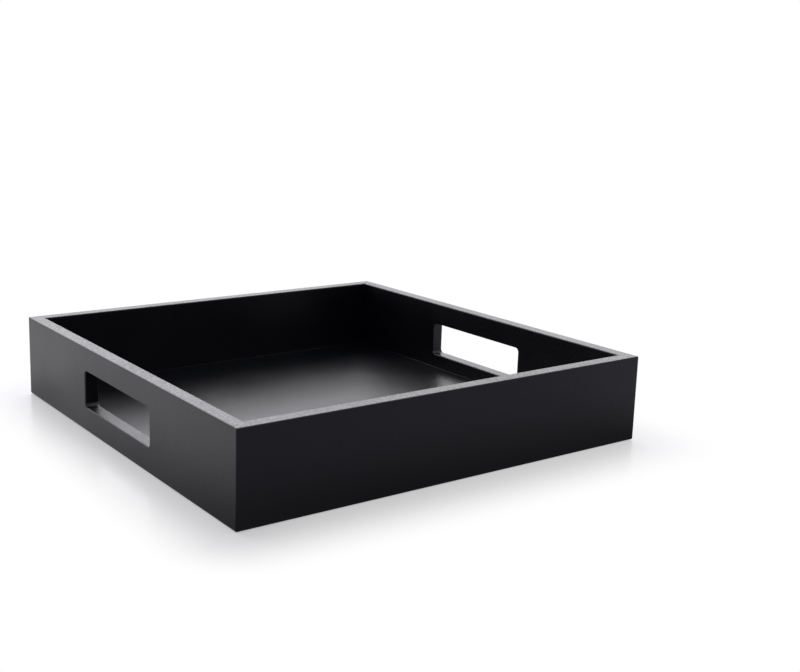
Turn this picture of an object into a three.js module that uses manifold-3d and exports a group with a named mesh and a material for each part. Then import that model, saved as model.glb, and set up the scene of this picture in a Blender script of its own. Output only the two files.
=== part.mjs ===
// Square serving tray of black lacquered wood, in millimetres, +Z up.
// The origin is in the middle of the footprint, on the surface that the tray stands on.
// The two walls with hand cut-outs stand at -X and +X, the plain ones at -Y (front) and +Y (back).
// Four boards are mitred together over hidden splines, and grooves in them hold the base panel all round.
import * as THREE from 'three';
import { mergeVertices } from 'three/addons/utils/BufferGeometryUtils.js';
import Module from 'manifold-3d';

// Walls
const trayLength = 320; // outside, along X
const trayWidth = 320; // outside, along Y
const wallHeight = 60;
const wallThickness = 10;
const wallArris = 0.6; // chamfer on the long edges of each board
const glueLine = 0.1; // between two mitred faces

// Hand cut-outs, in the middle of the two handle walls
const cutoutLength = 102;
const cutoutCorner = 3.2; // radius
const cutoutArris = 0.6; // chamfer round each mouth
const railAboveCutout = 17; // wood left up to the rim
const railBelowCutout = 17; // wood left down to the lower edge

// Base panel, with a thinner tongue round it that sits in the wall grooves
const baseThickness = 3.5;
const baseRecess = 2.5; // from the walls' lower edges up to the panel
const tongueThickness = 2;
const tongueReach = 4; // into each wall
const grooveFit = 0.2; // clearance round the tongue
const floorGap = 0.3; // between the raised floor and the walls
const floorArris = 0.4; // chamfer round the floor

// Splines across the mitres
const splineThickness = 2.5;
const splineInset = 3.6; // from the walls' inner faces to the middle of a spline
const splineCover = 1.6; // wood left between a slot and the walls' outer faces
const splineBelowRim = 8;
const splineAboveGroove = 4;
const splineFit = 0.2; // clearance round a spline in its slot

// Felt pads under the base
const padDiameter = 22;
const padProud = 0.5; // below the walls' lower edges
const padInset = 30; // from the walls' inner faces to the middle of a pad
const padArris = 0.4;

// Fineness of round shapes
const cornerSteps = 6; // chords in a quarter circle
const padSides = 32;

// Heights above the surface
const wallBottom = padProud;
const wallTop = wallBottom + wallHeight;
const baseBottom = wallBottom + baseRecess;
const baseTop = baseBottom + baseThickness;
const tongueTop = baseBottom + tongueThickness;
const grooveBottom = baseBottom - grooveFit;
const grooveTop = tongueTop + grooveFit;
const slotBottom = grooveTop + splineAboveGroove;
const slotTop = wallTop - splineBelowRim;

// Sizes that follow from the others
const grooveDepth = tongueReach + grooveFit;
const mitreSetback = glueLine / Math.SQRT2; // taken off each end of a board, along its length
const cutoutHeight = wallHeight - railAboveCutout - railBelowCutout;
const splineDepth = wallThickness - splineInset; // from the walls' outer faces to the middle of a spline
const slotThickness = splineThickness + 2 * splineFit;
const slotWidth = 2 * Math.SQRT2 * (splineDepth - splineCover) - slotThickness; // across the mitre

const wasm = await Module();
wasm.setup();

// Materials: each piece gets one of its own
const lacquer = { color: 0x18181a, roughness: 0.35, metalness: 0 };
const beech = { color: 0xc8a273, roughness: 0.7, metalness: 0 };
const felt = { color: 0x2c2c2e, roughness: 1, metalness: 0 };

function piece(name, geometry, finish) {
  const mesh = new THREE.Mesh(geometry, new THREE.MeshStandardMaterial({ ...finish, flatShading: true }));
  mesh.name = name;
  return mesh;
}

// Cutting
function toSolid(geometry) {
  const bare = geometry.clone();
  bare.deleteAttribute('normal');
  bare.deleteAttribute('uv');
  const merged = mergeVertices(bare);
  return new wasm.Manifold(new wasm.Mesh({
    numProp: 3,
    vertProperties: Float32Array.from(merged.attributes.position.array),
    triVerts: Uint32Array.from(merged.index.array),
  }));
}

function cut(geometry, cutters) {
  const rest = cutters.reduce((solid, cutter) => solid.subtract(toSolid(cutter)), toSolid(geometry));
  const { vertProperties, triVerts } = rest.getMesh();
  const result = new THREE.BufferGeometry();
  result.setAttribute('position', new THREE.BufferAttribute(vertProperties, 3));
  result.setIndex(new THREE.BufferAttribute(triVerts, 1));
  result.computeVertexNormals();
  return result;
}

// A closed solid through a stack of outlines that have equally many points, from the lowest to the highest
function loft(levels) {
  const count = levels[0].outline.length;
  const last = (levels.length - 1) * count;
  const vertices = levels.flatMap(({ outline, z }) => outline.flatMap(([x, y]) => [x, y, z]));
  const triangles = [];
  for (let start = 0; start < last; start += count) {
    for (let i = 0; i < count; i += 1) {
      const a = start + i;
      const b = start + ((i + 1) % count);
      triangles.push(a, b, b + count, a, b + count, a + count);
    }
  }
  for (let i = 1; i + 1 < count; i += 1) {
    triangles.push(0, i + 1, i);
    triangles.push(last, last + i, last + i + 1);
  }
  const geometry = new THREE.BufferGeometry();
  geometry.setAttribute('position', new THREE.Float32BufferAttribute(vertices, 3));
  geometry.setIndex(triangles);
  geometry.computeVertexNormals();
  return geometry;
}

function rectangle(length, width) {
  const x = length / 2;
  const y = width / 2;
  return [[-x, -y], [x, -y], [x, y], [-x, y]];
}

function roundedRectangle(length, width, radius) {
  const points = [];
  rectangle(length - 2 * radius, width - 2 * radius).forEach(([x, y], corner) => {
    for (let step = 0; step <= cornerSteps; step += 1) {
      const angle = (corner + step / cornerSteps) * (Math.PI / 2) - Math.PI;
      points.push([x + radius * Math.cos(angle), y + radius * Math.sin(angle)]);
    }
  });
  return points;
}

// Walls: a board lies along X with its outer face at y = 0 and its inner face at y = wallThickness
function boardSection() {
  const inner = wallThickness;
  const bed = wallThickness - grooveDepth;
  return new THREE.Shape([
    [wallArris, wallBottom],
    [inner - wallArris, wallBottom],
    [inner, wallBottom + wallArris],
    [inner, grooveBottom],
    [bed, grooveBottom],
    [bed, grooveTop],
    [inner, grooveTop],
    [inner, wallTop - wallArris],
    [inner - wallArris, wallTop],
    [wallArris, wallTop],
    [0, wallTop - wallArris],
    [0, wallBottom + wallArris],
  ].map(([depth, height]) => new THREE.Vector2(depth, height)));
}

function mitredBoard(length) {
  const board = new THREE.ExtrudeGeometry(boardSection(), { depth: length, bevelEnabled: false });
  const along = new THREE.Vector3(1, 0, 0);
  const inward = new THREE.Vector3(0, 1, 0);
  const up = new THREE.Vector3(0, 0, 1);
  board.applyMatrix4(new THREE.Matrix4().makeBasis(inward, up, along));
  const position = board.attributes.position;
  for (let i = 0; i < position.count; i += 1) {
    const end = Math.sign(position.getX(i) - length / 2);
    position.setX(i, end * (length / 2 - position.getY(i) - mitreSetback));
  }
  board.computeVertexNormals();
  return board;
}

function splineSlots(length) {
  return [-1, 1].map((end) => new THREE.BoxGeometry(slotWidth, slotThickness, slotTop - slotBottom)
    .rotateZ(end * (Math.PI / 4))
    .translate(end * (length / 2 - splineDepth), splineDepth, (slotBottom + slotTop) / 2));
}

// The cutter's mouths flare out by the chamfer, and run on past both faces of the wall
function handCutout() {
  const overrun = 1;
  const flare = 2 * (cutoutArris + overrun);
  const waist = roundedRectangle(cutoutLength, cutoutHeight, cutoutCorner);
  const mouth = roundedRectangle(cutoutLength + flare, cutoutHeight + flare, cutoutCorner + flare / 2);
  const mouthDepth = wallThickness / 2 + overrun;
  const waistDepth = wallThickness / 2 - cutoutArris;
  return loft([
    { outline: mouth, z: -mouthDepth },
    { outline: waist, z: -waistDepth },
    { outline: waist, z: waistDepth },
    { outline: mouth, z: mouthDepth },
  ]).rotateX(Math.PI / 2).translate(0, wallThickness / 2, wallBottom + railBelowCutout + cutoutHeight / 2);
}

function plainWall(name) {
  return piece(name, cut(mitredBoard(trayLength), splineSlots(trayLength)), lacquer);
}

function handleWall(name) {
  return piece(name, cut(mitredBoard(trayWidth), [...splineSlots(trayWidth), handCutout()]), lacquer);
}

function walls() {
  const front = plainWall('front_wall');
  front.position.set(0, -trayWidth / 2, 0);
  const right = handleWall('right_handle_wall');
  right.position.set(trayLength / 2, 0, 0);
  right.rotation.z = Math.PI / 2;
  const back = plainWall('back_wall');
  back.position.set(0, trayWidth / 2, 0);
  back.rotation.z = Math.PI;
  const left = handleWall('left_handle_wall');
  left.position.set(-trayLength / 2, 0, 0);
  left.rotation.z = -Math.PI / 2;
  return [front, right, back, left];
}

// Base panel: the tongue below, the raised floor above it
function basePanel() {
  const innerLength = trayLength - 2 * wallThickness;
  const innerWidth = trayWidth - 2 * wallThickness;
  const around = (margin) => rectangle(innerLength + 2 * margin, innerWidth + 2 * margin);
  return piece('base_panel', loft([
    { outline: around(tongueReach), z: baseBottom },
    { outline: around(tongueReach), z: tongueTop },
    { outline: around(-floorGap), z: tongueTop },
    { outline: around(-floorGap), z: baseTop - floorArris },
    { outline: around(-floorGap - floorArris), z: baseTop },
  ]), lacquer);
}

// What repeats at each corner of the tray
const corners = [
  { place: 'front_left', x: -1, y: -1 },
  { place: 'front_right', x: 1, y: -1 },
  { place: 'back_right', x: 1, y: 1 },
  { place: 'back_left', x: -1, y: 1 },
];

function mitreSpline({ place, x, y }) {
  const length = slotTop - slotBottom - 2 * splineFit;
  const width = slotWidth - 2 * splineFit;
  const spline = piece(`spline_${place}`, new THREE.BoxGeometry(width, splineThickness, length), beech);
  spline.position.set(
    x * (trayLength / 2 - splineDepth),
    y * (trayWidth / 2 - splineDepth),
    (slotBottom + slotTop) / 2,
  );
  spline.rotation.z = -x * y * (Math.PI / 4);
  return spline;
}

function footPad({ place, x, y }) {
  const radius = padDiameter / 2;
  const profile = [
    [0, 0],
    [radius - padArris, 0],
    [radius, padArris],
    [radius, baseBottom],
    [0, baseBottom],
  ].map(([out, height]) => new THREE.Vector2(out, height));
  const pad = piece(`foot_pad_${place}`, new THREE.LatheGeometry(profile, padSides).rotateX(Math.PI / 2), felt);
  pad.position.set(
    x * (trayLength / 2 - wallThickness - padInset),
    y * (trayWidth / 2 - wallThickness - padInset),
    0,
  );
  return pad;
}

const tray = new THREE.Group();
tray.add(...walls(), basePanel(), ...corners.map(mitreSpline), ...corners.map(footPad));

export default tray;
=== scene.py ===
"""Square lacquered tray with two hand cut-outs, finished and set up for a studio picture.

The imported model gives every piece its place. The operators below shape the boards, the base, the splines
and the pads there, give them their finishes, and set up the floor, the light and the camera. Lengths are
in metres.
"""
import math
from collections import namedtuple

import bmesh
import bpy
from mathutils import Matrix, Vector


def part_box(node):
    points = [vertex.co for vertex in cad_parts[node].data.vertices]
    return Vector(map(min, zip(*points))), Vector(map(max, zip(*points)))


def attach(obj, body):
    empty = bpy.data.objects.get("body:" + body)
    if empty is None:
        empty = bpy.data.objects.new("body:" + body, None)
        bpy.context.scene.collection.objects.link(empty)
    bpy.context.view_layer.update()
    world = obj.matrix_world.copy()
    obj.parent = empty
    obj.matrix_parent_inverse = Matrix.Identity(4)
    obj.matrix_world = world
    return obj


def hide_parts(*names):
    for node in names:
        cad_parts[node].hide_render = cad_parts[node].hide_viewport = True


bl_info = {
    "name": "Lacquered tray",
    "version": (1, 0, 0),
    "blender": (4, 5, 0),
    "location": "3D View > Sidebar > Tray",
    "description": "Shapes and finishes a square lacquered tray around its packed solids",
    "category": "Object",
}

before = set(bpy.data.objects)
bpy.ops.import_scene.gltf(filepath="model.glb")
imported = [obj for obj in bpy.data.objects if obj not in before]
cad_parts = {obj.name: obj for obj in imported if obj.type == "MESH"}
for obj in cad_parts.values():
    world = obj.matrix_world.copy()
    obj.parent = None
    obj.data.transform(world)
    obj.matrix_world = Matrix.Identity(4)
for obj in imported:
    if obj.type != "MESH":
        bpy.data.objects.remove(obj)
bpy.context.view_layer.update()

BODY = "root"

# Wall names with the direction that each outer face looks in
WALLS = {
    "front_wall": Vector((0, -1, 0)),
    "right_handle_wall": Vector((1, 0, 0)),
    "back_wall": Vector((0, 1, 0)),
    "left_handle_wall": Vector((-1, 0, 0)),
}
CORNERS = ("front_left", "front_right", "back_right", "back_left")
X, Y, Z = range(3)
UP = Vector((0, 0, 1))

# Material slots after the first one, which the plain faces have
ARRIS_SLOT = 1
JOINT_SLOT = 2
NO_SLOT = -1

# How close a point has to lie to a place to count as there, and a corner to a cut to be on it
NEAR = 1e-5
CUT_NEAR = NEAR / 10

# What counts as a face along a direction, as an upright face and as a sharp edge
ALONG_COSINE = 0.99
UPRIGHT_RISE = 0.1
SHARP_ANGLE = math.radians(60)

# Rounding of edges, and the shading that goes with it
ROUND_PROFILE = 0.5
SMOOTH_ANGLE = math.radians(32)
FLAT_FACE_WEIGHT = 100

# The map that a board's faces are laid out on, with the angle from which on faces lie apart on it
BAKE_MAP = "OFBake"
MAP_ANGLE = math.radians(30)
MAP_MARGIN = 0.004

# Share of a pad's width between its edge and its dish
PAD_MARGIN = 0.25


# Settings that a user would change

class TraySizes(bpy.types.PropertyGroup):
    """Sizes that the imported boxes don't give."""
    arris: bpy.props.FloatProperty(
        name="Arris", description="Radius of the eased edges of the boards",
        default=0.0009, min=0.0001, unit="LENGTH")
    arris_steps: bpy.props.IntProperty(
        name="Arris steps", description="Chords across an eased edge", default=5, min=1)
    cutout_length: bpy.props.FloatProperty(
        name="Cut-out length", description="Length of a hand cut-out along its wall",
        default=0.102, unit="LENGTH")
    cutout_height: bpy.props.FloatProperty(
        name="Cut-out height", description="Height of a hand cut-out", default=0.026, unit="LENGTH")
    cutout_sill: bpy.props.FloatProperty(
        name="Cut-out sill", description="From a wall's lower edge up to its cut-out",
        default=0.017, unit="LENGTH")
    cutout_corner: bpy.props.FloatProperty(
        name="Cut-out corner", description="Radius of a cut-out's corners", default=0.0032, unit="LENGTH")
    cutout_corner_steps: bpy.props.IntProperty(
        name="Cut-out corner steps", description="Chords in a corner of a cut-out", default=10, min=2)
    tongue_thickness: bpy.props.FloatProperty(
        name="Tongue", description="Thickness of the base's edge in the grooves",
        default=0.002, unit="LENGTH")
    groove_fit: bpy.props.FloatProperty(
        name="Groove fit", description="Clearance round the tongue", default=0.0002, unit="LENGTH")
    floor_gap: bpy.props.FloatProperty(
        name="Floor gap", description="Between the raised floor and the walls",
        default=0.0003, unit="LENGTH")
    floor_fillet: bpy.props.FloatProperty(
        name="Floor fillet", description="Height of the lacquer that has run together along the walls",
        default=0.0001, unit="LENGTH")
    spline_thickness: bpy.props.FloatProperty(
        name="Spline", description="Thickness of the strips across the mitres",
        default=0.0025, unit="LENGTH")
    spline_fit: bpy.props.FloatProperty(
        name="Spline fit", description="Clearance round a spline", default=0.0002, unit="LENGTH")
    spline_arris: bpy.props.FloatProperty(
        name="Spline arris", description="Radius of a spline's eased edges", default=0.0003, unit="LENGTH")
    pad_arris: bpy.props.FloatProperty(
        name="Pad arris", description="Radius of a pad's lower edge", default=0.0006, unit="LENGTH")
    pad_sides: bpy.props.IntProperty(
        name="Pad sides", description="Sides of a round pad", default=64, min=12)
    pad_dish: bpy.props.FloatProperty(
        name="Pad dish", description="How far the middle of a pad is drawn up",
        default=0.0001, unit="LENGTH")


class TrayFinishes(bpy.types.PropertyGroup):
    """Colours and gloss of the lacquer, the bare wood and the felt."""
    lacquer_colour: bpy.props.FloatVectorProperty(
        name="Lacquer", description="Colour of the lacquer", size=4, subtype="COLOR",
        min=0, max=1, default=(0.0008, 0.0011, 0.0038, 1))
    lacquer_thin_colour: bpy.props.FloatVectorProperty(
        name="Thin lacquer", description="Colour where the lacquer lies thin over the grain", size=4,
        subtype="COLOR", min=0, max=1, default=(0.0018, 0.0021, 0.0054, 1))
    rubbed_colour: bpy.props.FloatVectorProperty(
        name="Rubbed lacquer", description="Colour of edges that hands have rubbed", size=4,
        subtype="COLOR", min=0, max=1, default=(0.0046, 0.0046, 0.0062, 1))
    lacquer_roughness: bpy.props.FloatProperty(
        name="Lacquer roughness", description="Usual roughness of the satin lacquer",
        default=0.36, min=0, max=1, subtype="FACTOR")
    panel_roughness: bpy.props.FloatProperty(
        name="Panel roughness", description="Usual roughness of the lacquer on the base panel",
        default=0.33, min=0, max=1, subtype="FACTOR")
    lacquer_roughness_spread: bpy.props.FloatProperty(
        name="Roughness spread", description="How far the roughness goes down; it goes up half as far",
        default=0.04, min=0, max=1, subtype="FACTOR")
    wall_stipple: bpy.props.FloatProperty(
        name="Wall stipple", description="How far dust in the lacquer varies the roughness of the rims",
        default=0.06, min=0, max=1, subtype="FACTOR")
    panel_stipple: bpy.props.FloatProperty(
        name="Panel stipple", description="The same for the base panel, which is rubbed down",
        default=0.012, min=0, max=1, subtype="FACTOR")
    lacquer_ior: bpy.props.FloatProperty(
        name="Lacquer IOR", description="Refractive index of the lacquer", default=1.45, min=1, max=3)
    wood_colour: bpy.props.FloatVectorProperty(
        name="Bare wood", description="Colour of the early wood in the joints", size=4, subtype="COLOR",
        min=0, max=1, default=(0.58, 0.40, 0.24, 1))
    wood_late_colour: bpy.props.FloatVectorProperty(
        name="Late wood", description="Colour of the darker lines of the grain", size=4, subtype="COLOR",
        min=0, max=1, default=(0.36, 0.22, 0.12, 1))
    wood_roughness: bpy.props.FloatVectorProperty(
        name="Wood roughness", description="Least and greatest roughness of the bare wood", size=2,
        min=0, max=1, default=(0.55, 0.8))
    felt_colour: bpy.props.FloatVectorProperty(
        name="Felt", description="Colour of the felt", size=4, subtype="COLOR",
        min=0, max=1, default=(0.03, 0.03, 0.032, 1))
    felt_fibre_colour: bpy.props.FloatVectorProperty(
        name="Felt fibres", description="Colour of the paler fibres in the felt", size=4, subtype="COLOR",
        min=0, max=1, default=(0.07, 0.07, 0.074, 1))
    felt_roughness: bpy.props.FloatProperty(
        name="Felt roughness", description="Roughness of the felt", default=0.95, min=0, max=1,
        subtype="FACTOR")
    felt_sheen: bpy.props.FloatProperty(
        name="Felt sheen", description="Weight of the fibres' sheen", default=0.4, min=0, max=1,
        subtype="FACTOR")
    felt_sheen_roughness: bpy.props.FloatProperty(
        name="Felt sheen roughness", description="Roughness of the fibres' sheen", default=0.5,
        min=0, max=1, subtype="FACTOR")


class StudioSettings(bpy.types.PropertyGroup):
    """Camera, floor and light."""
    camera_place: bpy.props.FloatVectorProperty(
        name="Camera place", description="Where the camera stands", size=3, subtype="TRANSLATION",
        unit="LENGTH", default=(-0.4582, -0.6809, 0.2545))
    camera_azimuth: bpy.props.FloatProperty(
        name="Azimuth", description="Direction of view, turned from +Y", subtype="ANGLE",
        default=math.radians(-34.22))
    camera_elevation: bpy.props.FloatProperty(
        name="Elevation", description="How far the view looks down", subtype="ANGLE",
        default=math.radians(11.53))
    camera_roll: bpy.props.FloatProperty(
        name="Roll", description="Turn of the camera about its view", subtype="ANGLE",
        default=math.radians(1.185))
    camera_sensor: bpy.props.FloatProperty(
        name="Sensor", description="Width of the camera's sensor", subtype="DISTANCE_CAMERA",
        default=36)
    camera_lens: bpy.props.FloatProperty(
        name="Lens", description="Focal length of the camera", subtype="DISTANCE_CAMERA",
        default=52.08)
    camera_shift: bpy.props.FloatVectorProperty(
        name="Shift", description="Lens shift that the picture's framing needs", size=2,
        default=(0.09375, -0.045))
    floor_size: bpy.props.FloatProperty(
        name="Floor size", description="Length and width of the floor", default=6, unit="LENGTH")
    floor_colour: bpy.props.FloatVectorProperty(
        name="Floor", description="Colour of the white floor", size=4, subtype="COLOR",
        min=0, max=1, default=(0.885, 0.880, 0.940, 1))
    floor_roughness: bpy.props.FloatProperty(
        name="Floor roughness", description="Roughness of the floor", default=0.22, min=0, max=1,
        subtype="FACTOR")
    floor_gloss: bpy.props.FloatProperty(
        name="Floor gloss", description="Specular level of the floor", default=0.1, min=0, max=1,
        subtype="FACTOR")
    # floor_lift and floor_lift_front set painted light: a glow that lightens the tray's shadow in the
    # camera's view
    floor_lift: bpy.props.FloatProperty(
        name="Floor lift", description="How white the shadow is made at the back left of the tray",
        default=0.33, min=0, max=1, subtype="FACTOR")
    floor_lift_front: bpy.props.FloatProperty(
        name="Floor lift in front", description="How white the shadow is made at the tray's front right",
        default=0.48, min=0, max=1, subtype="FACTOR")
    floor_fade: bpy.props.FloatProperty(
        name="Floor fade", description="Width of the band beside the tray that keeps its shadow, back left",
        default=0.052, unit="LENGTH")
    floor_fade_front: bpy.props.FloatProperty(
        name="Floor fade in front", description="Width of the band that keeps the shadow, front right",
        default=0.062, unit="LENGTH")
    # The mirror settings shape painted shade: a glow that reflections show in place of the floor, dim in
    # front, with a painted shadow of the tray in a band beside it
    mirror_back_colour: bpy.props.FloatVectorProperty(
        name="Mirrored floor", description="Colour of the floor in reflections, from the tray backwards",
        size=4, subtype="COLOR", min=0, max=1, default=(0.970, 0.950, 1.0, 1))
    mirror_front_colour: bpy.props.FloatVectorProperty(
        name="Mirrored floor in front", description="Colour of the floor in reflections, far in front",
        size=4, subtype="COLOR", min=0, max=1, default=(0.285, 0.295, 0.37, 1))
    mirror_reach: bpy.props.FloatProperty(
        name="Mirror reach", description="Width of the dim band beside the tray in reflections, back left",
        default=0.08, unit="LENGTH")
    mirror_reach_front: bpy.props.FloatProperty(
        name="Mirror reach in front", description="Width of the dim band in reflections, front right",
        default=0.15, unit="LENGTH")
    mirror_close: bpy.props.FloatProperty(
        name="Mirror close", description="Level beside the tray in reflections, back left",
        default=0.58, min=0, max=1, subtype="FACTOR")
    mirror_close_front: bpy.props.FloatProperty(
        name="Mirror close in front", description="Level beside the tray in reflections, front right",
        default=0.2, min=0, max=1, subtype="FACTOR")
    world_dim: bpy.props.FloatProperty(
        name="World dim", description="Level of the world low in front, as reflections show it",
        default=0.2, min=0, max=1, subtype="FACTOR")
    ambient: bpy.props.FloatProperty(
        name="Ambient", description="Strength of the soft light from all sides", default=0.5, min=0)
    lamp_colour: bpy.props.FloatVectorProperty(
        name="Lamps", description="Colour of the softboxes", size=3, subtype="COLOR",
        min=0, max=1, default=(0.945, 0.938, 1.0))


SETTINGS = {"tray_sizes": TraySizes, "tray_finishes": TrayFinishes, "tray_studio": StudioSettings}


# Selecting

def deselect_all():
    """Leaves nothing selected, in object mode."""
    if bpy.context.object and bpy.context.object.mode != "OBJECT":
        bpy.ops.object.mode_set(mode="OBJECT")
    bpy.ops.object.select_all(action="DESELECT")


def take_up(piece):
    """Makes a piece the only one selected, and the active one."""
    deselect_all()
    piece.select_set(True)
    bpy.context.view_layer.objects.active = piece


def pick(kind, wanted, what):
    """In edit mode, selects the faces or edges that pass the test and no others, and stops if none do."""
    bpy.ops.mesh.select_mode(type=kind)
    bpy.ops.mesh.select_all(action="DESELECT")
    mesh = bpy.context.object.data
    net = bmesh.from_edit_mesh(mesh)
    parts = [part for part in (net.faces if kind == "FACE" else net.edges) if wanted(part)]
    if not parts:
        raise RuntimeError(f"no {what} was found to select")
    for part in parts:
        part.select_set(True)
    net.select_flush_mode()
    bmesh.update_edit_mesh(mesh)


def near(value, place):
    """Whether two coordinates are the same place."""
    return abs(value - place) < NEAR


def lies_at(part, axis, *places):
    """Whether all corners of an edge or face have one of these coordinates, the same one."""
    return any(all(near(vert.co[axis], place) for vert in part.verts) for place in places)


def looks_along(face, direction):
    """Whether a face's normal is along this direction, either way."""
    return abs(face.normal.dot(direction)) > ALONG_COSINE


# Shaping

def add_block(name, low, high):
    """Adds a box between two corners and opens it in edit mode."""
    deselect_all()
    bpy.ops.mesh.primitive_cube_add(size=1)
    block = bpy.context.object
    block.name = block.data.name = name
    block.location = (low + high) / 2
    block.scale = high - low
    bpy.ops.object.transform_apply(location=True, rotation=True, scale=True)
    bpy.ops.object.mode_set(mode="EDIT")
    return block


def score(wanted, what, place, direction):
    """In edit mode, divides the faces that pass the test where a plane goes through them."""
    pick("FACE", wanted, what)
    bpy.ops.mesh.bisect(plane_co=place, plane_no=direction, threshold=CUT_NEAR)


def round_edges(wanted, what, radius, steps, slot=NO_SLOT):
    """In edit mode, rounds the edges that pass the test, and gives the new faces a slot if there is one."""
    pick("EDGE", wanted, what)
    bpy.ops.mesh.bevel(offset=radius, segments=steps, profile=ROUND_PROFILE, material=slot)


def apply_modifier(piece, kind, **fields):
    """Adds a modifier with these fields to a piece, and applies it."""
    take_up(piece)
    bpy.ops.object.modifier_add(type=kind)
    modifier = piece.modifiers[-1]
    for field, value in fields.items():
        setattr(modifier, field, value)
    bpy.ops.object.modifier_apply(modifier=modifier.name)


def assign_slot(slot):
    """In edit mode, gives the selected faces the material of a slot."""
    bpy.context.object.active_material_index = slot
    bpy.ops.object.material_slot_assign()


def smooth(piece):
    """Shades a piece smooth over its eased edges, and keeps its large faces flat."""
    take_up(piece)
    bpy.ops.object.shade_smooth_by_angle(angle=SMOOTH_ANGLE)
    apply_modifier(piece, "WEIGHTED_NORMAL", weight=FLAT_FACE_WEIGHT, keep_sharp=True)


def lay_out(piece):
    """Lays a piece's faces out on its map, with those at 45 degrees to each other apart."""
    take_up(piece)
    piece.data.uv_layers.active.name = BAKE_MAP
    bpy.ops.object.mode_set(mode="EDIT")
    bpy.ops.mesh.select_all(action="SELECT")
    bpy.ops.uv.smart_project(angle_limit=MAP_ANGLE, island_margin=MAP_MARGIN, scale_to_bounds=True)
    bpy.ops.object.mode_set(mode="OBJECT")


def copy_piece(piece, name, offset=(0, 0, 0), turn=0.0):
    """A copy of a piece with a mesh of its own, turned about Z and then moved by an offset."""
    take_up(piece)
    bpy.ops.object.duplicate()
    copy = bpy.context.object
    copy.name = copy.data.name = name
    copy.location = offset
    copy.rotation_euler.z = turn
    bpy.ops.object.transform_apply(location=True, rotation=True, scale=True)
    return copy


def settle(piece, node):
    """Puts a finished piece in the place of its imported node."""
    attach(piece, BODY)
    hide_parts(node)


def delete(piece):
    """Removes a cutter or a template that is done with."""
    take_up(piece)
    bpy.ops.object.delete()


# Walls

def frame_box():
    """The lowest and highest corner of the four walls together."""
    boxes = [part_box(name) for name in WALLS]
    low = Vector(min(box[0][axis] for box in boxes) for axis in (X, Y, Z))
    high = Vector(max(box[1][axis] for box in boxes) for axis in (X, Y, Z))
    return low, high


def wall_thickness():
    """Thickness of the boards."""
    low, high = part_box("left_handle_wall")
    return high.x - low.x


def hollow_out(high, thickness):
    """Turns the block in edit mode into a square frame with walls of this thickness."""
    inner = high.x - thickness

    def is_end(face):
        return looks_along(face, UP)

    def is_inset(face):
        return is_end(face) and max(abs(vert.co.x) for vert in face.verts) < inner + NEAR

    pick("FACE", is_end, "end face of the block")
    bpy.ops.mesh.inset(thickness=thickness, use_even_offset=True)
    pick("FACE", is_inset, "inset end face")
    bpy.ops.mesh.bridge_edge_loops()


def cut_groove(sizes, low, high, thickness):
    """Cuts the groove for the base's tongue round the inner sides of the frame."""
    base_low, base_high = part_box("base_panel")
    bottom = base_low.z - sizes.groove_fit
    top = base_low.z + sizes.tongue_thickness + sizes.groove_fit

    def is_inner(face):
        middle = face.calc_center_median()
        return abs(face.normal.z) < UPRIGHT_RISE and all(
            low[axis] + thickness - NEAR < middle[axis] < high[axis] - thickness + NEAR for axis in (X, Y))

    def is_groove(face):
        return is_inner(face) and bottom < face.calc_center_median().z < top

    def is_new(face):
        return all(near(vert.co.z, bottom) or near(vert.co.z, top) for vert in face.verts)

    for height in (bottom, top):
        score(is_inner, "inner side of the frame", (0, 0, height), UP)
    pick("FACE", is_groove, "side of the groove")
    bpy.ops.mesh.extrude_region_move()
    inner_length = high.x - low.x - 2 * thickness
    inner_width = high.y - low.y - 2 * thickness
    bed_length = base_high.x - base_low.x + 2 * sizes.groove_fit
    bed_width = base_high.y - base_low.y + 2 * sizes.groove_fit
    bpy.ops.transform.resize(
        value=(bed_length / inner_length, bed_width / inner_width, 1), center_override=(low + high) / 2)
    pick("FACE", is_new, "face of the groove")
    assign_slot(JOINT_SLOT)


def cutout_bounds(sizes, low, high):
    """The two ends of the cut-outs along Y, and the heights of their sills and heads."""
    middle = (low.y + high.y) / 2
    sill = low.z + sizes.cutout_sill
    ends = (middle - sizes.cutout_length / 2, middle + sizes.cutout_length / 2)
    return ends, (sill, sill + sizes.cutout_height)


def open_cutout(sides, ends, rails):
    """In edit mode, opens a cut-out with these bounds through the wall between two sides."""
    def on_wall(face):
        return lies_at(face, X, *sides)

    def is_mouth(face):
        middle = face.calc_center_median()
        return on_wall(face) and ends[0] < middle.y < ends[1] and rails[0] < middle.z < rails[1]

    for end in ends:
        score(on_wall, "side of a handle wall", (0, end, 0), (0, 1, 0))
    for rail in rails:
        score(on_wall, "side of a handle wall", (0, 0, rail), UP)
    pick("FACE", is_mouth, "mouth of a cut-out")
    bpy.ops.mesh.bridge_edge_loops()


def cut_handles(sizes, low, high, thickness):
    """Opens the hand cut-outs through the two handle walls and rounds their corners."""
    ends, rails = cutout_bounds(sizes, low, high)
    open_cutout((low.x, low.x + thickness), ends, rails)
    open_cutout((high.x, high.x - thickness), ends, rails)

    def is_corner(edge):
        first, second = (vert.co for vert in edge.verts)
        through = near(abs(first.x - second.x), thickness)
        return through and lies_at(edge, Y, *ends) and lies_at(edge, Z, *rails)

    round_edges(is_corner, "corner of a cut-out", sizes.cutout_corner, sizes.cutout_corner_steps)


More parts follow.
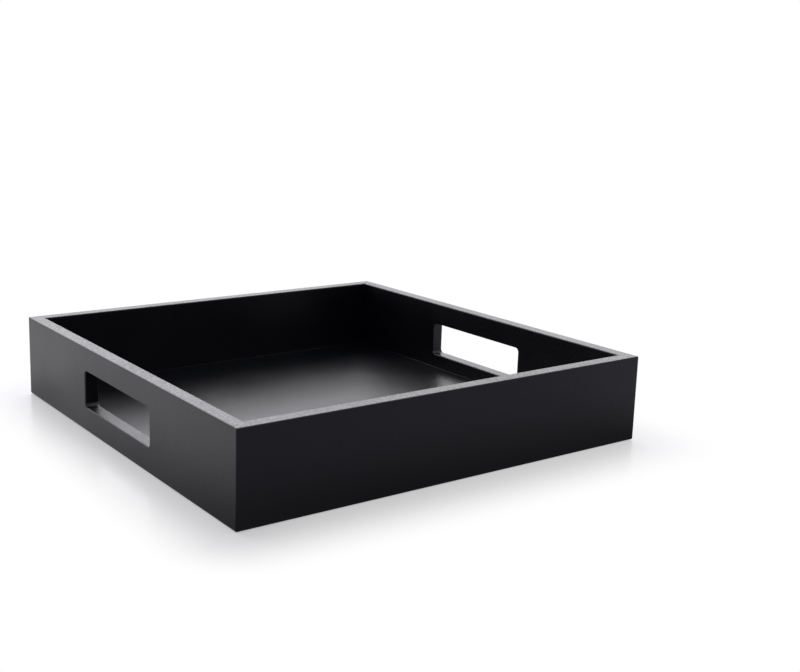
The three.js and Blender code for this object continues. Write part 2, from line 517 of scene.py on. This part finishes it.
def ease_arrises(sizes, low, high, thickness):
    """Rounds every edge that a hand can touch."""
    ends, rails = cutout_bounds(sizes, low, high)

    def is_sharp(edge):
        return len(edge.link_faces) == 2 and edge.calc_face_angle() > SHARP_ANGLE

    def is_rim(edge):
        return lies_at(edge, Z, low.z, high.z)

    def is_outer_corner(edge):
        return lies_at(edge, X, low.x, high.x) and lies_at(edge, Y, low.y, high.y)

    def is_mouth(edge):
        return lies_at(edge, X, low.x, low.x + thickness, high.x - thickness, high.x) and all(
            ends[0] - NEAR < vert.co.y < ends[1] + NEAR and
            rails[0] - NEAR < vert.co.z < rails[1] + NEAR for vert in edge.verts)

    def is_arris(edge):
        return is_sharp(edge) and (is_rim(edge) or is_outer_corner(edge) or is_mouth(edge))

    round_edges(is_arris, "edge to ease", sizes.arris, sizes.arris_steps, ARRIS_SLOT)


def mitre(corner, away):
    """In edit mode, cuts off what lies beyond a corner in this direction, and closes the cut."""
    def is_cut(face):
        return all(near(vert.co.dot(away), corner.dot(away)) for vert in face.verts)

    bpy.ops.mesh.select_all(action="SELECT")
    bpy.ops.mesh.bisect(plane_co=corner, plane_no=away, use_fill=True, clear_outer=True, threshold=CUT_NEAR)
    pick("FACE", is_cut, "mitre")
    assign_slot(JOINT_SLOT)


def make_board(ring, name, outward, low, high, materials):
    """Copies the frame and mitres the copy down to one wall."""
    board = copy_piece(ring, f"{name}_board")
    for slot, material in enumerate(materials):
        board.material_slots[slot].material = material
    along = UP.cross(outward)
    bpy.ops.object.mode_set(mode="EDIT")
    for end in (-along, along):
        towards = end + outward
        corner = Vector((high.x if towards.x > 0 else low.x, high.y if towards.y > 0 else low.y, 0))
        mitre(corner, (end - outward).normalized())
    bpy.ops.object.mode_set(mode="OBJECT")
    return board


def board_finish(grain, finishes, joint):
    """The materials of a board with its grain along an axis, in the order of its slots."""
    return (
        lacquer(f"lacquer_along_{grain}", finishes, grain),
        lacquer(f"arris_along_{grain}", finishes, grain, rubbed=True),
        joint,
    )


def add_spline_block(name, sizes, margin, material):
    """Adds a block as large as a spline and a margin round it, at the origin, and opens it in edit mode."""
    low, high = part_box(f"spline_{CORNERS[0]}")
    width = (high.x - low.x) * math.sqrt(2) - sizes.spline_thickness
    half = Vector((width, sizes.spline_thickness, high.z - low.z)) / 2 + Vector.Fill(3, margin)
    block = add_block(name, -half, half)
    block.data.materials.append(material)
    return block


def copy_to_corner(block, name, place):
    """Copies a spline block to a corner of the frame, turned to lie across the mitre there."""
    low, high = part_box(f"spline_{place}")
    middle = (low + high) / 2
    return copy_piece(block, name, middle, math.copysign(math.pi / 4, -middle.x * middle.y))


class TRAY_OT_walls(bpy.types.Operator):
    """Shape the four mitred boards of the frame"""
    bl_idname = "tray.walls"
    bl_label = "Walls"

    def execute(self, context):
        sizes = context.scene.tray_sizes
        finishes = context.scene.tray_finishes
        low, high = frame_box()
        thickness = wall_thickness()
        joint = bare_wood("joint_wood", finishes)
        finish = {grain: board_finish(grain, finishes, joint) for grain in "xy"}
        ring = add_block("frame_ring", low, high)
        for material in finish["x"]:
            ring.data.materials.append(material)
        hollow_out(high, thickness)
        cut_groove(sizes, low, high, thickness)
        cut_handles(sizes, low, high, thickness)
        ease_arrises(sizes, low, high, thickness)
        bpy.ops.object.mode_set(mode="OBJECT")
        cutter = add_spline_block("slot_cutter", sizes, sizes.spline_fit, joint)
        cutters = [copy_to_corner(cutter, f"slot_cutter_{place}", place) for place in CORNERS]
        for name, outward in WALLS.items():
            materials = finish["y" if outward.x else "x"]
            board = make_board(ring, name, outward, low, high, materials)
            for slot in cutters:
                apply_modifier(board, "BOOLEAN", object=slot, operation="DIFFERENCE", solver="EXACT",
                               material_mode="TRANSFER")
            lay_out(board)
            smooth(board)
            settle(board, name)
        for template in (ring, cutter, *cutters):
            delete(template)
        return {"FINISHED"}


# Base

class TRAY_OT_base(bpy.types.Operator):
    """Shape the base panel with its tongue and raised floor"""
    bl_idname = "tray.base"
    bl_label = "Base"

    def execute(self, context):
        sizes = context.scene.tray_sizes
        finishes = context.scene.tray_finishes
        low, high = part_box("base_panel")
        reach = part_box("left_handle_wall")[1].x - low.x
        tongue_top = low.z + sizes.tongue_thickness
        panel = add_block("base_panel_floor", low, Vector((high.x, high.y, tongue_top)))
        panel.data.materials.append(lacquer("lacquer_floor", finishes, "x", panel=True))
        panel.data.materials.append(lacquer("arris_floor", finishes, "x", rubbed=True, panel=True))
        pick("FACE", lambda face: lies_at(face, Z, tongue_top), "top of the tongue")
        bpy.ops.mesh.inset(thickness=reach + sizes.floor_gap, use_even_offset=True)
        fillet = sizes.floor_fillet
        bpy.ops.mesh.extrude_region_move(
            TRANSFORM_OT_translate={"value": (0, 0, high.z + fillet - tongue_top)})
        bpy.ops.mesh.inset(thickness=fillet, depth=-fillet, use_even_offset=True)
        round_edges(lambda edge: lies_at(edge, Z, high.z), "foot of the fillet",
                    fillet, sizes.arris_steps, ARRIS_SLOT)
        bpy.ops.object.mode_set(mode="OBJECT")
        smooth(panel)
        settle(panel, "base_panel")
        return {"FINISHED"}


# Splines

class TRAY_OT_splines(bpy.types.Operator):
    """Shape the strips of bare wood across the mitres"""
    bl_idname = "tray.splines"
    bl_label = "Splines"

    def execute(self, context):
        sizes = context.scene.tray_sizes
        wood = bare_wood("spline_wood", context.scene.tray_finishes)
        first = add_spline_block("spline_template", sizes, 0.0, wood)
        round_edges(lambda edge: True, "edge of a spline", sizes.spline_arris, sizes.arris_steps)
        bpy.ops.object.mode_set(mode="OBJECT")
        smooth(first)
        for place in CORNERS:
            strip = copy_to_corner(first, f"spline_{place}_strip", place)
            settle(strip, f"spline_{place}")
        delete(first)
        return {"FINISHED"}


# Pads

def make_pad(low, high, sizes):
    """A round felt disc with a soft lower edge and a slightly dished face."""
    width = high.x - low.x
    deselect_all()
    bpy.ops.mesh.primitive_cylinder_add(
        vertices=sizes.pad_sides, radius=width / 2, depth=high.z - low.z, end_fill_type="NGON",
        location=(low + high) / 2)
    pad = bpy.context.object
    pad.name = pad.data.name = "pad_template"
    bpy.ops.object.transform_apply(location=True, rotation=True, scale=True)
    bpy.ops.object.mode_set(mode="EDIT")
    round_edges(lambda edge: lies_at(edge, Z, low.z), "lower edge of a pad",
                sizes.pad_arris, sizes.arris_steps)
    pick("FACE", lambda face: lies_at(face, Z, low.z), "lower face of a pad")
    bpy.ops.mesh.inset(thickness=width * PAD_MARGIN)
    bpy.ops.transform.translate(value=(0, 0, sizes.pad_dish))
    bpy.ops.object.mode_set(mode="OBJECT")
    return pad


class TRAY_OT_pads(bpy.types.Operator):
    """Shape the felt pads under the base"""
    bl_idname = "tray.pads"
    bl_label = "Pads"

    def execute(self, context):
        boxes = {f"foot_pad_{place}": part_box(f"foot_pad_{place}") for place in CORNERS}
        low, high = boxes[f"foot_pad_{CORNERS[0]}"]
        first = make_pad(low, high, context.scene.tray_sizes)
        first.data.materials.append(felt("foot_felt", context.scene.tray_finishes))
        smooth(first)
        for node, box in boxes.items():
            pad = copy_piece(first, f"{node}_felt", box[0] - low)
            settle(pad, node)
        delete(first)
        return {"FINISHED"}


# Materials

# A noise: its cells per metre along the grain and across it, the steps of finer detail and their strength,
# the values between which it counts, and the height of a bump that is made from it
Pattern = namedtuple("Pattern", "cells detail roughness span height", defaults=(4.0, 0.55, (0.3, 0.7), 0.0))

# Lacquer
FIGURE = Pattern((5.0, 160.0, 160.0), detail=6.0)
LINES = Pattern((30.0, 640.0, 640.0), detail=3.0, height=0.000009)
PORES = Pattern((210.0, 900.0, 900.0), span=(0.46, 0.66), height=0.000025)
WAVES = Pattern((11.0, 34.0, 34.0), detail=1.0, height=0.00012)
PEEL = Pattern((480.0, 480.0, 480.0), detail=1.0, height=0.00002)
HAZE = Pattern((14.0, 14.0, 14.0), detail=5.0)
GRIT = Pattern((800.0, 800.0, 800.0), roughness=0.6, span=(0.38, 0.62))
RUB = Pattern((90.0, 90.0, 90.0), detail=6.0, span=(0.52, 0.74))

# Bare wood and felt
RINGS = Pattern((20.0, 600.0, 600.0), detail=5.0)
FLECK = Pattern((240.0, 1800.0, 1800.0), detail=3.0, height=0.00003)
MATTING = Pattern((900.0, 900.0, 900.0), detail=6.0, roughness=0.7, height=0.00012)
FIBRES = Pattern((3500.0, 700.0, 2000.0), detail=3.0)

# How far a face has to look up for dust to settle on it, and the share that upright faces get
DUSTY_RISE = (0.3, 0.9)
UPRIGHT_DUST = 1 / 6


def add_node(tree, kind, sockets=None, **fields):
    """Adds a shader node, and sets its fields, and its sockets by name or number."""
    node = tree.nodes.new(kind)
    for field, value in fields.items():
        setattr(node, field, value)
    for socket, value in (sockets or {}).items():
        node.inputs[socket].default_value = value
    return node


def new_material(name):
    """An empty node material with its shader and its texture coordinates."""
    material = bpy.data.materials.new(name)
    material.use_nodes = True
    tree = material.node_tree
    tree.nodes.clear()
    shader = add_node(tree, "ShaderNodeBsdfPrincipled")
    output = add_node(tree, "ShaderNodeOutputMaterial")
    tree.links.new(shader.outputs["BSDF"], output.inputs["Surface"])
    coordinates = add_node(tree, "ShaderNodeTexCoord")
    return material, tree, shader, coordinates


def add_noise(tree, place, pattern, grain="x"):
    """Noise with the pattern's long cells along the grain."""
    cells = list(pattern.cells)
    along = "xyz".index(grain)
    cells[0], cells[along] = cells[along], cells[0]
    mapping = add_node(tree, "ShaderNodeMapping", {"Scale": cells})
    tree.links.new(place, mapping.inputs["Vector"])
    noise = add_node(tree, "ShaderNodeTexNoise", {
        "Scale": 1.0, "Detail": pattern.detail, "Roughness": pattern.roughness})
    tree.links.new(mapping.outputs["Vector"], noise.inputs["Vector"])
    return noise.outputs["Fac"]


def add_range(tree, value, span, ends=(0.0, 1.0)):
    """Goes smoothly from one end to the other while a value goes through its span."""
    mapped = add_node(tree, "ShaderNodeMapRange", {
        "From Min": span[0], "From Max": span[1], "To Min": ends[0], "To Max": ends[1]},
        interpolation_type="SMOOTHSTEP")
    tree.links.new(value, mapped.inputs["Value"])
    return mapped.outputs["Result"]


def add_colours(tree, value, low_colour, high_colour):
    """Turns a value into a colour between two."""
    ramp = add_node(tree, "ShaderNodeValToRGB")
    ramp.color_ramp.elements[0].color = low_colour
    ramp.color_ramp.elements[1].color = high_colour
    tree.links.new(value, ramp.inputs["Fac"])
    return ramp.outputs["Color"]


def add_bump(tree, value, height, under=None):
    """Bump of this height in metres, on top of another bump."""
    bump = add_node(tree, "ShaderNodeBump", {"Strength": 1.0, "Distance": height})
    tree.links.new(value, bump.inputs["Height"])
    if under:
        tree.links.new(under, bump.inputs["Normal"])
    return bump.outputs["Normal"]


def add_math(tree, operation, first, second):
    """A value worked out from two others."""
    math_node = add_node(tree, "ShaderNodeMath", operation=operation)
    tree.links.new(first, math_node.inputs[0])
    tree.links.new(second, math_node.inputs[1])
    return math_node.outputs["Value"]


def add_vector_math(tree, operation, vector, other=(0, 0, 0)):
    """A vector node that works with another vector, where its operation takes one."""
    vector_node = add_node(tree, "ShaderNodeVectorMath", {1: other}, operation=operation)
    tree.links.new(vector, vector_node.inputs[0])
    return vector_node.outputs


def add_along(tree, vector, direction):
    """How far a point or a direction goes along another direction."""
    return add_vector_math(tree, "DOT_PRODUCT", vector, direction)["Value"]


def lacquer(name, finishes, grain, rubbed=False, panel=False):
    """Satin lacquer sprayed over wood: the grain and pores show faintly through it."""
    material, tree, shader, coordinates = new_material(name)
    place = coordinates.outputs["Object"]
    if rubbed:
        rub = add_range(tree, add_noise(tree, place, RUB), RUB.span)
        colour = add_colours(tree, rub, finishes.lacquer_colour, finishes.rubbed_colour)
    else:
        figure = add_noise(tree, place, FIGURE, grain)
        colour = add_colours(tree, figure, finishes.lacquer_colour, finishes.lacquer_thin_colour)
    tree.links.new(colour, shader.inputs["Base Color"])
    usual = finishes.panel_roughness if panel else finishes.lacquer_roughness
    spread = finishes.lacquer_roughness_spread
    haze = add_noise(tree, place, HAZE)
    gloss = add_range(tree, haze, HAZE.span, (usual - spread, usual + spread / 2))
    most = finishes.panel_stipple if panel else finishes.wall_stipple
    rise = add_along(tree, coordinates.outputs["Normal"], UP)
    dust = add_range(tree, rise, DUSTY_RISE, (most * UPRIGHT_DUST, most))
    grit = add_range(tree, add_noise(tree, place, GRIT), GRIT.span, (-1.0, 1.0))
    stipple = add_math(tree, "MULTIPLY", grit, dust)
    tree.links.new(add_math(tree, "ADD", gloss, stipple), shader.inputs["Roughness"])
    pores = add_range(tree, add_noise(tree, place, PORES, grain), PORES.span, (1.0, 0.0))
    bump = add_bump(tree, add_noise(tree, place, WAVES, grain), WAVES.height)
    bump = add_bump(tree, add_noise(tree, place, LINES, grain), LINES.height, bump)
    bump = add_bump(tree, pores, PORES.height, bump)
    bump = add_bump(tree, add_noise(tree, place, PEEL), PEEL.height, bump)
    tree.links.new(bump, shader.inputs["Normal"])
    shader.inputs["IOR"].default_value = finishes.lacquer_ior
    return material


def bare_wood(name, finishes):
    """Sawn hardwood with upright grain, as it shows in an open joint."""
    material, tree, shader, coordinates = new_material(name)
    place = coordinates.outputs["Object"]
    rings = add_noise(tree, place, RINGS, "z")
    fleck = add_noise(tree, place, FLECK, "z")
    tree.links.new(add_colours(tree, rings, finishes.wood_late_colour, finishes.wood_colour),
                   shader.inputs["Base Color"])
    tree.links.new(add_range(tree, fleck, FLECK.span, finishes.wood_roughness), shader.inputs["Roughness"])
    tree.links.new(add_bump(tree, fleck, FLECK.height), shader.inputs["Normal"])
    return material


def felt(name, finishes):
    """Pressed wool felt with short matted fibres."""
    material, tree, shader, coordinates = new_material(name)
    place = coordinates.outputs["Object"]
    fibres = add_noise(tree, place, FIBRES)
    nap = add_math(tree, "ADD", add_noise(tree, place, MATTING), fibres)
    tree.links.new(add_colours(tree, fibres, finishes.felt_colour, finishes.felt_fibre_colour),
                   shader.inputs["Base Color"])
    tree.links.new(add_bump(tree, nap, MATTING.height), shader.inputs["Normal"])
    shader.inputs["Roughness"].default_value = finishes.felt_roughness
    shader.inputs["Sheen Weight"].default_value = finishes.felt_sheen
    shader.inputs["Sheen Roughness"].default_value = finishes.felt_sheen_roughness
    return material


# Studio

WHITE = (1, 1, 1, 1)

# Directions over which the world and the floor change, and how far along them
WORLD_BACK = (0.6, 0.8, 0)
WORLD_BACK_SPAN = (-0.5, 0.9)
WORLD_RISE_SPAN = (0.25, 0.7)
LEFTWARD = (-0.7, 0.7, 0)
SHADOW_SPAN = (-0.2, 0.2)
MIRROR_SPAN = (-0.1, 0.2)
BACKWARD = (0.05, 1.0, 0)
BACKWARD_SPAN = (-0.45, 0.05)

# Lamps with the points that they look at, and how bright they look
Softbox = namedtuple("Softbox", "place target size radiance")
SOFTBOXES = {
    "back_softbox": Softbox((0.8, 1.55, 1.10), target=(0.3, 0, 0.05), size=(4.0, 1.5), radiance=1.75),
    "left_softbox": Softbox((0, 1.6, 1.10), target=(0, 0, 0.05), size=(2.5, 1.5), radiance=0.5),
}


def add_mirror_test(tree, path):
    """A value of 1 for rays that see the background in a reflection or through something clear."""
    return add_math(tree, "MAXIMUM", path.outputs["Is Glossy Ray"], path.outputs["Is Transmission Ray"])


def add_shader_mix(tree, factor, first, second):
    """Goes from the first shader to the second as the factor goes from 0 to 1."""
    mix = add_node(tree, "ShaderNodeMixShader")
    tree.links.new(factor, mix.inputs[0])
    tree.links.new(first, mix.inputs[1])
    tree.links.new(second, mix.inputs[2])
    return mix.outputs["Shader"]


def set_world(studio):
    """White where it is seen, dim low in front in reflections, and a soft light where it isn't seen."""
    world = bpy.data.worlds.new("studio_world")
    bpy.context.scene.world = world
    world.use_nodes = True
    tree = world.node_tree
    tree.nodes.clear()
    path = add_node(tree, "ShaderNodeLightPath")
    light = add_node(tree, "ShaderNodeBackground", {"Color": WHITE, "Strength": studio.ambient})
    white = add_node(tree, "ShaderNodeBackground", {"Color": WHITE, "Strength": 1.0})
    mirrored = add_node(tree, "ShaderNodeBackground", {"Color": WHITE})
    direction = add_node(tree, "ShaderNodeTexCoord").outputs["Generated"]
    back = add_range(
        tree, add_along(tree, direction, WORLD_BACK), WORLD_BACK_SPAN, (studio.world_dim, 1.0))
    above = add_range(tree, add_along(tree, direction, UP), WORLD_RISE_SPAN)
    tree.links.new(add_math(tree, "MAXIMUM", back, above), mirrored.inputs["Strength"])
    unseen = add_shader_mix(
        tree, add_mirror_test(tree, path), light.outputs["Background"], mirrored.outputs["Background"])
    output = add_node(tree, "ShaderNodeOutputWorld")
    tree.links.new(add_shader_mix(tree, path.outputs["Is Camera Ray"], unseen, white.outputs["Background"]),
                   output.inputs["Surface"])


def add_outside(tree, place):
    """Distance from a point of the floor to the outline of the tray."""
    low, high = frame_box()
    middle, half = (low + high) / 2, (high - low) / 2
    offset = add_vector_math(tree, "SUBTRACT", place, (middle.x, middle.y, 0))["Vector"]
    folded = add_vector_math(tree, "ABSOLUTE", offset)["Vector"]
    beyond = add_vector_math(tree, "SUBTRACT", folded, (half.x, half.y, 0))["Vector"]
    clear = add_vector_math(tree, "MAXIMUM", beyond)["Vector"]
    return add_vector_math(tree, "LENGTH", clear)["Value"]


def add_rise(tree, outside, width, level):
    """Rises from a level at the tray's outline to 1 at a width from it. Both vary over the floor."""
    rise = add_range(tree, outside, (0.0, 1.0))
    tree.links.new(width, rise.node.inputs["From Max"])
    tree.links.new(level, rise.node.inputs["To Min"])
    return rise


def add_mirrored_floor(tree, place, outside, leftward, studio):
    """The floor as reflections show it: a glow with a painted shadow beside the tray and painted shade
    towards the front.
    """
    # Painted shade towards the front and a painted shadow of the tray beside it, seen only in reflections
    backward = add_range(tree, add_along(tree, place, BACKWARD), BACKWARD_SPAN)
    reach = add_range(tree, leftward, MIRROR_SPAN, (studio.mirror_reach_front, studio.mirror_reach))
    close = add_range(tree, leftward, MIRROR_SPAN, (studio.mirror_close_front, studio.mirror_close))
    mirrored = add_node(tree, "ShaderNodeEmission")
    tree.links.new(add_colours(tree, backward, studio.mirror_front_colour, studio.mirror_back_colour),
                   mirrored.inputs["Color"])
    tree.links.new(add_rise(tree, outside, reach, close), mirrored.inputs["Strength"])
    return mirrored.outputs["Emission"]


def floor_finish(studio):
    """White sheet that takes the tray's shadow, lightened by painted light, and fades to plain white away
    from it.
    """
    material, tree, shader, coordinates = new_material("floor_white")
    place = coordinates.outputs["Object"]
    shader.inputs["Base Color"].default_value = studio.floor_colour
    shader.inputs["Roughness"].default_value = studio.floor_roughness
    shader.inputs["Specular IOR Level"].default_value = studio.floor_gloss
    outside = add_outside(tree, place)
    leftward = add_along(tree, place, LEFTWARD)
    band = add_range(tree, leftward, SHADOW_SPAN, (studio.floor_fade_front, studio.floor_fade))
    # Painted light: the glow that lightens the shadow, more at the front right than at the back left
    lift = add_range(tree, leftward, SHADOW_SPAN, (studio.floor_lift_front, studio.floor_lift))
    white = add_node(tree, "ShaderNodeEmission", {"Color": WHITE})
    seen = add_shader_mix(
        tree, add_rise(tree, outside, band, lift), shader.outputs["BSDF"], white.outputs["Emission"])
    # Reflections see a glow with painted shade and a painted shadow instead of the lit floor
    mirrored = add_mirrored_floor(tree, place, outside, leftward, studio)
    path = add_node(tree, "ShaderNodeLightPath")
    lit = add_shader_mix(tree, path.outputs["Is Camera Ray"], shader.outputs["BSDF"], seen)
    output = next(node for node in tree.nodes if node.type == "OUTPUT_MATERIAL")
    tree.links.new(add_shader_mix(tree, add_mirror_test(tree, path), lit, mirrored),
                   output.inputs["Surface"])
    return material


def add_floor(studio):
    """The sheet that the tray stands on."""
    deselect_all()
    bpy.ops.mesh.primitive_plane_add(size=studio.floor_size, location=(0, 0, 0))
    floor = bpy.context.object
    floor.name = floor.data.name = "studio_floor"
    floor.data.materials.append(floor_finish(studio))


def add_softbox(name, box, colour):
    """A rectangular lamp that looks at a point."""
    data = bpy.data.lights.new(name, "AREA")
    data.shape = "RECTANGLE"
    data.size, data.size_y = box.size
    data.energy = box.radiance * math.pi * data.size * data.size_y
    data.color = colour
    lamp = bpy.data.objects.new(name, data)
    bpy.context.scene.collection.objects.link(lamp)
    lamp.location = box.place
    lamp.rotation_mode = "QUATERNION"
    lamp.rotation_quaternion = (Vector(box.target) - Vector(box.place)).to_track_quat("-Z", "Y")


def add_camera(studio):
    """The camera at the photograph's viewing angle."""
    data = bpy.data.cameras.new("studio_camera")
    data.sensor_width = studio.camera_sensor
    data.lens = studio.camera_lens
    data.shift_x, data.shift_y = studio.camera_shift
    camera = bpy.data.objects.new("studio_camera", data)
    bpy.context.scene.collection.objects.link(camera)
    azimuth, elevation = studio.camera_azimuth, studio.camera_elevation
    view = Vector((-math.sin(azimuth) * math.cos(elevation), math.cos(azimuth) * math.cos(elevation),
                   -math.sin(elevation)))
    level = view.to_track_quat("-Z", "Y").to_matrix()
    turn = level @ Matrix.Rotation(studio.camera_roll, 3, "Z")
    camera.matrix_world = Matrix.Translation(studio.camera_place) @ turn.to_4x4()
    bpy.context.scene.camera = camera


class TRAY_OT_stage(bpy.types.Operator):
    """Set up the floor, the light and the camera"""
    bl_idname = "tray.stage"
    bl_label = "Stage"

    def execute(self, context):
        studio = context.scene.tray_studio
        context.scene.view_settings.view_transform = "Standard"
        set_world(studio)
        add_floor(studio)
        for name, box in SOFTBOXES.items():
            add_softbox(name, box, studio.lamp_colour)
        add_camera(studio)
        return {"FINISHED"}


# Panel and registration

OPERATORS = (TRAY_OT_walls, TRAY_OT_base, TRAY_OT_splines, TRAY_OT_pads, TRAY_OT_stage)


class TRAY_PT_sidebar(bpy.types.Panel):
    """Lists the steps that make the tray and the settings that they use"""
    bl_idname = "TRAY_PT_sidebar"
    bl_label = "Lacquered tray"
    bl_space_type = "VIEW_3D"
    bl_region_type = "UI"
    bl_category = "Tray"

    def draw(self, context):
        for operator in OPERATORS:
            self.layout.operator(operator.bl_idname)
        for name, group in SETTINGS.items():
            box = self.layout.box()
            for setting in group.__annotations__:
                box.prop(getattr(context.scene, name), setting)


CLASSES = (*SETTINGS.values(), *OPERATORS, TRAY_PT_sidebar)


def register():
    """Adds the settings, the operators and the panel to Blender."""
    for cls in CLASSES:
        bpy.utils.register_class(cls)
    for name, group in SETTINGS.items():
        setattr(bpy.types.Scene, name, bpy.props.PointerProperty(type=group))


def unregister():
    """Takes them out again."""
    for name in SETTINGS:
        delattr(bpy.types.Scene, name)
    for cls in reversed(CLASSES):
        bpy.utils.unregister_class(cls)


def main():
    """Makes the tray and its studio."""
    register()
    bpy.ops.tray.walls()
    bpy.ops.tray.base()
    bpy.ops.tray.splines()
    bpy.ops.tray.pads()
    bpy.ops.tray.stage()
    deselect_all()


if __name__ == "__main__":
    main()
